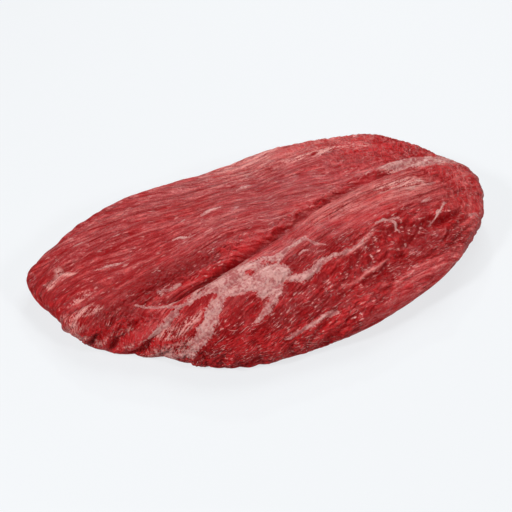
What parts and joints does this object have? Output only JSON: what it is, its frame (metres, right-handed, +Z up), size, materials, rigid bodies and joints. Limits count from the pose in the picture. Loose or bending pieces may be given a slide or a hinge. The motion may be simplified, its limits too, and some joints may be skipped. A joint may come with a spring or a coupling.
{
  "type": "raw beef flank",
  "caption": "Raw beef flank lying flat: one thick, trimmed muscle with long grain, a grooved seam, a torn front slope and patches of surface fat.",
  "frame": {"origin": "under the middle of the bounding box, on the surface that the meat lies on", "axes": "+X along the grain to the thick end, +Y across it to the smooth back edge, +Z up"},
  "size_m": [0.2854, 0.1546, 0.0481],
  "materials": {
    "meat": "raw, moist, slightly glossy"
  },
  "bodies": {
    "root": {"flank": "meat"}
  },
  "joints": []
}
